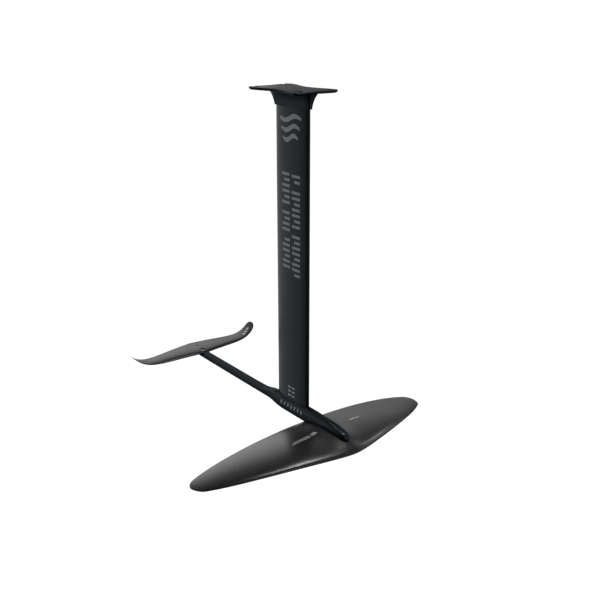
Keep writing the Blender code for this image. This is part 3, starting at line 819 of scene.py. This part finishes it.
# %% Lay up the front wing
WING_HALF_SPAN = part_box("front_wing")[1].x
WING_MEAN_Y = -70.3 * MM
WING_SWEEP = 181.6 * MM
WING_TAIL_SWEEP = 15.4 * MM
WING_TAIL_TRAIL = 7 * MM
WING_CAMBER = 0.018
WING_NOSE_ROUND = 0.080
WING_Z, WING_DROOP = -848.2 * MM, 39.9 * MM
WING_THICK, WING_TIP_THICK = 21 * MM, 2.2 * MM
SADDLE, SADDLE_WIDTH = 16 * MM, 37 * MM
SADDLE_RISE = [(0, 0), (0.08, 0.08), (0.15, 0.24), (0.24, 0.42), (0.35, 0.57), (0.50, 0.74), (0.68, 0.92),
               (0.88, 0.74), (1, 0)]
WING_BOLT_SINK = 0.8 * MM
TIP_START = 0.955                 # share of the half span where the tip starts to round off
TIP_AXIS = 0.62                   # share of the chord that the tip closes on


def wing_edges(u):
    """Leading and trailing edge at a share u of the half span."""
    blunt = (u * u + WING_NOSE_ROUND ** 2) ** 0.56 - WING_NOSE_ROUND ** 1.12
    front = WING_MEAN_Y - WING_SWEEP * max(0.0, 1 - blunt) ** 0.598
    back = WING_MEAN_Y + WING_TAIL_SWEEP * math.sqrt(1 - u ** 9.8) + WING_TAIL_TRAIL * (1 - u * u)
    return front, back


def wing_height(x, along, side):
    """Height of the front wing's skin at x, a share `along` of the chord, on its upper or lower side."""
    u = min(1.0, abs(x) / WING_HALF_SPAN)
    front, back = wing_edges(u)
    thick = WING_TIP_THICK + (WING_THICK - WING_TIP_THICK) * (1 - u ** 1.6) ** 0.8
    z = WING_Z - WING_DROOP * u ** 2.23 + side * blunt_share(along) * thick
    z += WING_CAMBER * 4 * along * (1 - along) * (back - front)
    if side > 0:
        z += SADDLE * math.exp(-(x / SADDLE_WIDTH) ** 2) * between(SADDLE_RISE, along)
    return z


def front_wing_rings(count=112):
    rings = []
    for share in stations(191):
        u = abs(share) * 0.9985
        x = share * WING_HALF_SPAN
        front, back = wing_edges(u)
        chord, middle_y = back - front, front + (back - front) * TIP_AXIS
        shrink = tip_round(abs(share), TIP_START)
        low_middle = WING_Z - WING_DROOP * u ** 2.23
        ring = []
        for along, side in wing_section(count):
            z = wing_height(x, along, 1 if side > 0 else -1)
            ring.append((x, middle_y + (along - TIP_AXIS) * chord * shrink,
                         low_middle + (z - low_middle) * shrink))
        rings.append(ring)
    return rings


front_wing = add("front_wing_skin", loft(front_wing_rings()))
wing_cutters = [add("fuselage_seat", loft(fuselage_rings(GAP * 1.3)))]
for end, y in WING_BOLTS.items():
    front, back = wing_edges(0)
    face = wing_height(0, (y - front) / (back - front), -1) + WING_BOLT_SINK
    wing_cutters.append(countersink(f"wing_sink_{end}", y, face, 1, 30 * MM))
    socket_screw(f"wing_screw_{end}", y, face, 1, WING_BOLT_TIP - face, f"wing_bolt_{end}")
cut(front_wing, wing_cutters)
finish_piece(front_wing, carbon_finish, ["front_wing"])

# %% [markdown]
# ## The stabiliser
#
# The stabiliser keeps the foil level. It is a slim carbon blade that first droops a little and
# then turns up sharply at both tips, with its leading edge swept and its trailing edge almost
# straight. It sits flat on the tail and two screws go down through it.

# %% Lay up the stabiliser
TAIL_HALF_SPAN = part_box("stabiliser")[1].x
TAIL_FRONT, TAIL_SWEEP = 436.2 * MM, 41.7 * MM
TAIL_BACK, TAIL_BACK_SWEEP, TAIL_TIP_TRAIL = 529.5 * MM, 16.6 * MM, 12 * MM
TAIL_Z, TAIL_DROOP, TAIL_TIP_RISE = -820.0 * MM, 19.6 * MM, 46.4 * MM
TAIL_THICK, TAIL_TIP_THICK = 12 * MM, 2 * MM
TAIL_TIP_SHARE = 0.998            # the last section stops just short of the tip, where the chord is nothing
TAIL_BOLT_FACE, TAIL_RIM_EASE = -816.2 * MM, 2.2 * MM


def tail_middle(u):
    """Height of the stabiliser's middle surface at a share u of the half span."""
    return TAIL_Z - TAIL_DROOP * u * u + TAIL_TIP_RISE * u ** 6.76


def tail_section(u):
    """Middle, half chord and thickness of the stabiliser's section; it shrinks fast at the very tip."""
    front = TAIL_FRONT + TAIL_SWEEP * u ** 1.17
    back = TAIL_BACK - TAIL_BACK_SWEEP * u ** 0.8 + TAIL_TIP_TRAIL * u ** 8
    shrink = math.sqrt(1 - u ** 30)
    thick = (TAIL_TIP_THICK + (TAIL_THICK - TAIL_TIP_THICK) * (1 - u ** 2.5)) * max(shrink, 0.2)
    return (front + back) / 2, (back - front) / 2 * shrink, thick


def stabiliser_rings(count=96):
    rings = []
    for share in stations(161):
        u = abs(share) * TAIL_TIP_SHARE
        middle_y, half_chord, thick = tail_section(u)
        rings.append([(share * TAIL_HALF_SPAN, middle_y + (2 * along - 1) * half_chord,
                       tail_middle(u) + side * thick) for along, side in wing_section(count)])
    return rings


stabiliser = add("stabiliser_skin", loft(stabiliser_rings()))
cut(stabiliser, [countersink(f"tail_sink_{end}", y, TAIL_BOLT_FACE, -1, 30 * MM, TAIL_RIM_EASE)
                 for end, y in TAIL_BOLTS.items()])
finish_piece(stabiliser, tail_carbon_finish, ["stabiliser"])

# %% Drive in the other screws
for end, y in PLATE_BOLTS.items():
    socket_screw(f"plate_screw_{end}", y, 0, -1, 45 * MM, f"plate_bolt_{end}")
for end, y in MAST_BOLTS.items():
    socket_screw(f"mast_screw_{end}", y, MAST_BOLT_FACE, 1, 50 * MM, f"mast_bolt_{end}")
for end, y in TAIL_BOLTS.items():
    socket_screw(f"tail_screw_{end}", y, TAIL_BOLT_FACE, -1, 16.4 * MM, f"stabiliser_bolt_{end}")

# %% [markdown]
# ## Hidden metal
#
# The blocks inside the mast's ends and the threaded bushes are seen only when the foil is taken
# apart. Their measured shapes are already right, so they stay and only get a proper finish.

# %% Finish the hidden pieces
for name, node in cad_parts.items():
    if "block" in name or "bush" in name:
        node.data.materials.clear()
        node.data.materials.append(raw_finish if "block" in name else steel_finish)
        print("refinished", name)


# %% [markdown]
# ## Printing the marks
#
# A print follows the surface it is on. Each stroke is a small strip whose points are worked out on
# the curved skin, then thickened to a tenth of a millimetre: the film stands just proud of the
# skin, and its underside is buried so that no light shows under it.

# %% A strip of ink on a surface
FILM_OUT, FILM_IN = 0.10 * MM, 0.25 * MM


def stroke(shape, place_on, across, along):
    """Adds one strip to a bmesh: place_on(a, b) gives a point and its outward normal for a, b in 0 to 1."""
    outer, inner = [], []
    for i in range(across + 1):
        outer.append([])
        inner.append([])
        for j in range(along + 1):
            point, normal = place_on(i / across, j / along)
            outer[i].append(shape.verts.new(point + normal * FILM_OUT))
            inner[i].append(shape.verts.new(point - normal * FILM_IN))
    for i in range(across):
        for j in range(along):
            shape.faces.new((outer[i][j], outer[i + 1][j], outer[i + 1][j + 1], outer[i][j + 1]))
            shape.faces.new((inner[i][j], inner[i][j + 1], inner[i + 1][j + 1], inner[i + 1][j]))
    border = [(i, 0) for i in range(across)] + [(across, j) for j in range(along)]
    border += [(i, along) for i in range(across, 0, -1)] + [(0, j) for j in range(along, 0, -1)]
    for (a, b), (c, d) in zip(border, border[1:] + border[:1]):
        shape.faces.new((outer[a][b], inner[a][b], inner[c][d], outer[c][d]))


def print_marks(name, strokes, ink_finish):
    """One piece of print made of many strokes, each (place_on, across, along)."""
    shape = bmesh.new()
    for place_on, across, along in strokes:
        stroke(shape, place_on, across, along)
    bmesh.ops.recalc_face_normals(shape, faces=shape.faces)
    mesh = bpy.data.meshes.new(name)
    shape.to_mesh(mesh)
    shape.free()
    return finish_piece(add(name, mesh), ink_finish, [])


# %% Surfaces that take print
def on_mast(y, z):
    """A point on the mast's starboard skin."""
    slope = (foil_half(y + 0.1 * MM) - foil_half(y - 0.1 * MM)) / (0.2 * MM)
    return Vector((-foil_half(y), y, z)), Vector((-1, -slope, 0)).normalized()


def on_wing(x, y):
    """A point on the front wing's upper skin."""
    def height(px, py):
        front, back = wing_edges(min(1.0, abs(px) / WING_HALF_SPAN))
        return wing_height(px, (py - front) / (back - front), 1)
    step = 0.5 * MM
    slope_x = (height(x + step, y) - height(x - step, y)) / (2 * step)
    slope_y = (height(x, y + step) - height(x, y - step)) / (2 * step)
    return Vector((x, y, height(x, y))), Vector((-slope_x, -slope_y, 1)).normalized()


def on_tail(x, y):
    """A point on the stabiliser's upper skin."""
    def height(px, py):
        u = abs(px) / TAIL_HALF_SPAN * TAIL_TIP_SHARE
        middle_y, half_chord, thick = tail_section(u)
        along = (py - middle_y) / (2 * half_chord) + 0.5
        return tail_middle(u) + foil_share(min(1.0, max(0.0, along))) * thick
    step = 0.2 * MM
    slope_x = (height(x + step, y) - height(x - step, y)) / (2 * step)
    slope_y = (height(x, y + step) - height(x, y - step)) / (2 * step)
    return Vector((x, y, height(x, y))), Vector((-slope_x, -slope_y, 1)).normalized()


def on_beam(y, z):
    """A point on the fuselage's starboard side."""
    def width(py, pz):
        wide, high, low, crown, keel = fuselage_shape(py)
        middle, tall = (high + low) / 2, (high - low) / 2
        power = crown if pz > middle else keel
        return wide * (1 - min(1.0, abs((pz - middle) / tall)) ** power) ** (1 / power)
    step = 0.2 * MM
    slope_y = (width(y + step, z) - width(y - step, z)) / (2 * step)
    slope_z = (width(y, z + step) - width(y, z - step)) / (2 * step)
    return Vector((-width(y, z), y, z)), Vector((-1, -slope_y, -slope_z)).normalized()


def bar(surface, low_a, high_a, low_b, high_b):
    """A rectangle on a surface, as a function for stroke()."""
    return lambda a, b: surface(low_a + (high_a - low_a) * a, low_b + (high_b - low_b) * b)


def wave(surface, start, end, height, swing, thick, swap=False):
    """A band that swings up and down once between start and end."""
    def place_on(a, b):
        s = start + (end - start) * a
        taper = 0.35 + 0.65 * math.sin(math.pi * a) ** 0.5
        t = height + swing * math.sin(2 * math.pi * a) + (b - 0.5) * thick * taper
        return surface(t, s) if swap else surface(s, t)
    return place_on


# %% Marks on the mast, in millimetres
strokes = []
for row, height in enumerate((-68, -91, -114)):
    reach = 41 - 6 * row
    strokes.append((wave(on_mast, -reach * MM, reach * MM, height * MM, 6 * MM, 12 * MM), 48, 4))
print_marks("mast_print_waves", strokes, grey_ink)

strokes = []
for column, (front, rear, top, groups) in enumerate(((-36, -6, -200, (2, 7, 8)), (3, 33, -198, (6, 4, 6)))):
    z = top
    tick = 0
    for group in groups:
        for _ in range(group):
            short = 9 if tick % 3 == 1 else 0
            tick += 1
            strokes.append((bar(on_mast, front * MM, (rear - short) * MM, z * MM, (z - 7) * MM), 10, 1))
            z -= 14
        z -= 12
    print("scale column", column, "ends at", z, "mm")
print_marks("mast_print_scale", strokes, grey_ink)

strokes = [(bar(on_mast, front * MM, (front + 11) * MM, z * MM, (z - 5) * MM), 4, 1)
           for front in (-14, 2) for z in (-764, -776, -788)]
print_marks("mast_print_size", strokes, pale_ink)

# %% Marks on the fuselage and the wings
strokes = [(bar(on_beam, y * MM, (y + 6) * MM, -822 * MM, -812.5 * MM), 2, 3)
           for y in range(-56, 30, 14)]
print_marks("beam_print_ticks", strokes, grey_ink)

strokes = [(wave(on_wing, -141 * MM, -129 * MM, x * MM, 1.5 * MM, 3 * MM, swap=True), 16, 3)
           for x in (-37, -42, -47)]
for y, reach in ((-139, 58), (-133, 50)):
    strokes.append((bar(on_wing, -(54 + reach) * MM, -54 * MM, y * MM, (y + 2.2) * MM), 20, 1))
print_marks("wing_print_starboard", strokes, pale_ink)

strokes = [(bar(on_wing, x * MM, (x + 7) * MM, -130 * MM, -127 * MM), 3, 1)
           for x in (84, 93, 102, 111)]
print_marks("wing_print_port", strokes, pale_ink)

strokes = [(bar(on_tail, x * MM, (x + 7) * MM, y * MM, (y + 7) * MM), 3, 2)
           for x, y in ((172, 481), (183, 487), (194, 493))]
print_marks("tail_print_port", strokes, pale_ink)

# %% [markdown]
# ## Floor and light
#
# The floor is one pale sheet well below the foil, so that the piece seems to float with only a
# soft shadow. The studio is bright behind the object and dim in front of it: the satin metal and
# the matt carbon then show long soft gradients and a dark rim, which tell the eye their curves.
# The surroundings are painted with two curves, one from front to back and one from low to high.

# %% The floor
FLOOR_Z = cad_box[0].z - 0.30     # metres
FLOOR_HALF = 60.0
FLOOR_LIGHT = 0.975               # its own glow, so that it stays pale and even

floor_mesh = bpy.data.meshes.new("floor")
floor_corners = [(x * FLOOR_HALF, y * FLOOR_HALF, FLOOR_Z) for x, y in ((-1, -1), (1, -1), (1, 1), (-1, 1))]
floor_mesh.from_pydata(floor_corners, [], [(0, 1, 2, 3)])
floor = add("floor", floor_mesh)
floor_finish = bpy.data.materials.new("pale_floor")
floor_finish.use_nodes = True
floor_shader = floor_finish.node_tree.nodes["Principled BSDF"]
floor_shader.inputs["Base Color"].default_value = (0.12, 0.12, 0.12, 1)
floor_shader.inputs["Roughness"].default_value = 0.9
floor_shader.inputs["Emission Color"].default_value = (1, 1, 1, 1)
floor_shader.inputs["Emission Strength"].default_value = FLOOR_LIGHT
floor_mesh.materials.append(floor_finish)
floor.visible_diffuse = False
floor.visible_glossy = False
print("floor at", round(FLOOR_Z, 3), "m")

# %% The studio's surroundings
world = bpy.data.worlds.new("studio")
bpy.context.scene.world = world
world.use_nodes = True
w_nodes, w_links = world.node_tree.nodes, world.node_tree.links
backdrop = w_nodes["Background"]
direction = w_nodes.new("ShaderNodeTexCoord").outputs["Generated"]
parts = w_nodes.new("ShaderNodeSeparateXYZ")
w_links.new(direction, parts.inputs["Vector"])


def ramp(value, stops):
    """A smooth grey curve through stops of (place, brightness)."""
    node = w_nodes.new("ShaderNodeValToRGB")
    node.color_ramp.interpolation = "EASE"
    while len(node.color_ramp.elements) < len(stops):
        node.color_ramp.elements.new(0.5)
    for element, (place, grey) in zip(node.color_ramp.elements, stops):
        element.position = place
        element.color = (grey, grey, grey, 1)
    w_links.new(value, node.inputs["Fac"])
    return node.outputs["Color"]


def times(first, second):
    return maths(w_nodes, w_links, "MULTIPLY", first, second)


def plus(first, second):
    return maths(w_nodes, w_links, "ADD", first, second)


STUDIO_GLOW = 1.7
BACKDROP_SEEN = 1.05              # brightness of the plain white that the camera sees behind the foil
BACK = (-0.05, 1.0)               # the way to the back of the studio
# how far a direction points to the back of the studio, from 0 in front to 1 behind
towards = plus(times(parts.outputs["X"], BACK[0] / 2), times(parts.outputs["Y"], BACK[1] / 2))
towards = plus(towards, 0.5)
height = plus(times(parts.outputs["Z"], 0.5), 0.5)
round_about = ramp(towards, [(0.0, 0.08), (0.35, 0.04), (0.55, 0.06), (0.70, 0.17), (0.84, 0.48),
                             (1.0, 1.15)])
up_down = ramp(height, [(0.0, 0.12), (0.33, 0.62), (0.5, 0.42), (0.56, 0.50), (0.63, 1.25), (0.70, 0.66),
                        (0.77, 0.46), (0.84, 0.34), (0.91, 0.16), (1.0, 0.12)])
from_front = ramp(towards, [(0.0, 0.22), (0.26, 0.16), (0.38, 0.0)])
glow = times(plus(times(round_about, up_down), from_front), STUDIO_GLOW)
seen = w_nodes.new("ShaderNodeLightPath").outputs["Is Camera Ray"]
shown = w_nodes.new("ShaderNodeMix")
w_links.new(seen, shown.inputs["Factor"])
w_links.new(glow, shown.inputs["A"])
shown.inputs["B"].default_value = BACKDROP_SEEN
w_links.new(shown.outputs["Result"], backdrop.inputs["Strength"])
backdrop.inputs["Color"].default_value = (0.97, 0.985, 1.0, 1)
print("studio surroundings painted, glow", STUDIO_GLOW)


# %% The softboxes
def softbox(name, place, target, width, length, power):
    """A soft rectangular lamp at `place` that faces `target`."""
    data = bpy.data.lights.new(name, "AREA")
    data.shape = "RECTANGLE"
    data.size, data.size_y = width, length
    data.energy = power
    lamp = bpy.data.objects.new(name, data)
    lamp.location = place
    lamp.visible_camera = False
    lamp.rotation_euler = (Vector(target) - Vector(place)).to_track_quat("-Z", "Y").to_euler()
    bpy.context.scene.collection.objects.link(lamp)
    print(name, "gives", power, "W")
    return lamp


FOIL_MIDDLE = (0, 0, -0.6)
STARBOARD_WING = (-0.25, -0.12, -0.86)
STARBOARD_EDGE, PORT_EDGE = (-0.18, -0.2, -0.87), (0.2, -0.2, -0.86)
softbox("leading_edge_strip", (0.36, 0.18, 1.6), STARBOARD_EDGE, 0.35, 0.7, 24)
softbox("port_edge_strip", (2.05, 0.3, 0.75), PORT_EDGE, 0.3, 0.3, 3)
softbox("starboard_key", (0.32, 1.32, -0.15), STARBOARD_WING, 0.95, 0.55, 1.7)
softbox("port_fill", (2.4, -0.6, 0.3), FOIL_MIDDLE, 1.5, 1.5, 8)

# %% [markdown]
# ## Colour handling
#
# A plain display curve keeps the greys as they were set, so the dark metal stays dark and the
# floor stays pale.

# %% Finish
bpy.context.scene.view_settings.view_transform = "Standard"
